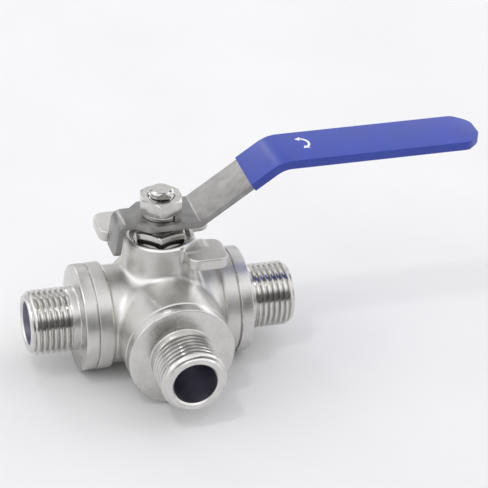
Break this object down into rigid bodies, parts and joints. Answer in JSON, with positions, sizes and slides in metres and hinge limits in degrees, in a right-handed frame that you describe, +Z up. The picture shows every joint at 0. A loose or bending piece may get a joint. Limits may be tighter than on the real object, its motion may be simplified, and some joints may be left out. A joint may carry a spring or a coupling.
{
  "type": "three way ball valve",
  "caption": "Three way ball valve with male threaded ends on a T body, a stem with packing, and a bent lever with a vinyl sleeve that turns a T-bored ball through a quarter turn.",
  "frame": {"origin": "centre of the ball, where the run, the branch and the stem axis meet", "axes": "+Z up along the stem, +X along the run towards the right port, as the lever points at rest, -Y along the branch port"},
  "size_m": [0.1477, 0.064, 0.0711],
  "materials": {
    "cast_steel": "bead-blasted investment casting, satin",
    "turned_steel": "turned, bright",
    "polished_steel": "polished",
    "bright_steel": "machined, bright",
    "lever_plate": "stamped sheet, tumbled, satin",
    "ptfe": "smooth white",
    "vinyl": "dipped vinyl, semi-gloss"
  },
  "bodies": {
    "valve_body": {"body": "cast_steel", "left_end_cap": "turned_steel", "right_end_cap": "turned_steel", "front_end_cap": "turned_steel", "left_cap_gasket": "ptfe", "right_cap_gasket": "ptfe", "front_cap_gasket": "ptfe", "left_seat": "ptfe", "right_seat": "ptfe", "front_seat": "ptfe", "rear_seat": "ptfe", "thrust_washer": "ptfe", "packing_bottom_ring": "ptfe", "packing_middle_ring": "ptfe", "packing_top_ring": "ptfe", "packing_gland": "bright_steel"},
    "lever_and_stem": {"stem": "bright_steel", "lower_disc_spring": "bright_steel", "upper_disc_spring": "bright_steel", "packing_nut": "bright_steel", "lever": "lever_plate", "lever_sleeve": "vinyl", "lock_washer": "bright_steel", "lever_nut": "bright_steel"},
    "ball": {"ball": "polished_steel"}
  },
  "joints": [
    {"name": "lever_turn", "type": "hinge", "parent": "valve_body", "child": "lever_and_stem", "pos_m": [0, 0, 0], "axis": [0, 0, 1], "range_deg": [0, 90]},
    {"name": "ball_turn", "type": "hinge", "parent": "valve_body", "child": "ball", "pos_m": [0, 0, 0], "axis": [0, 0, 1], "range_deg": [0, 90]}
  ],
  "couplings": [
    {"joint": "ball_turn", "follows": "lever_turn", "ratio": 1}
  ]
}
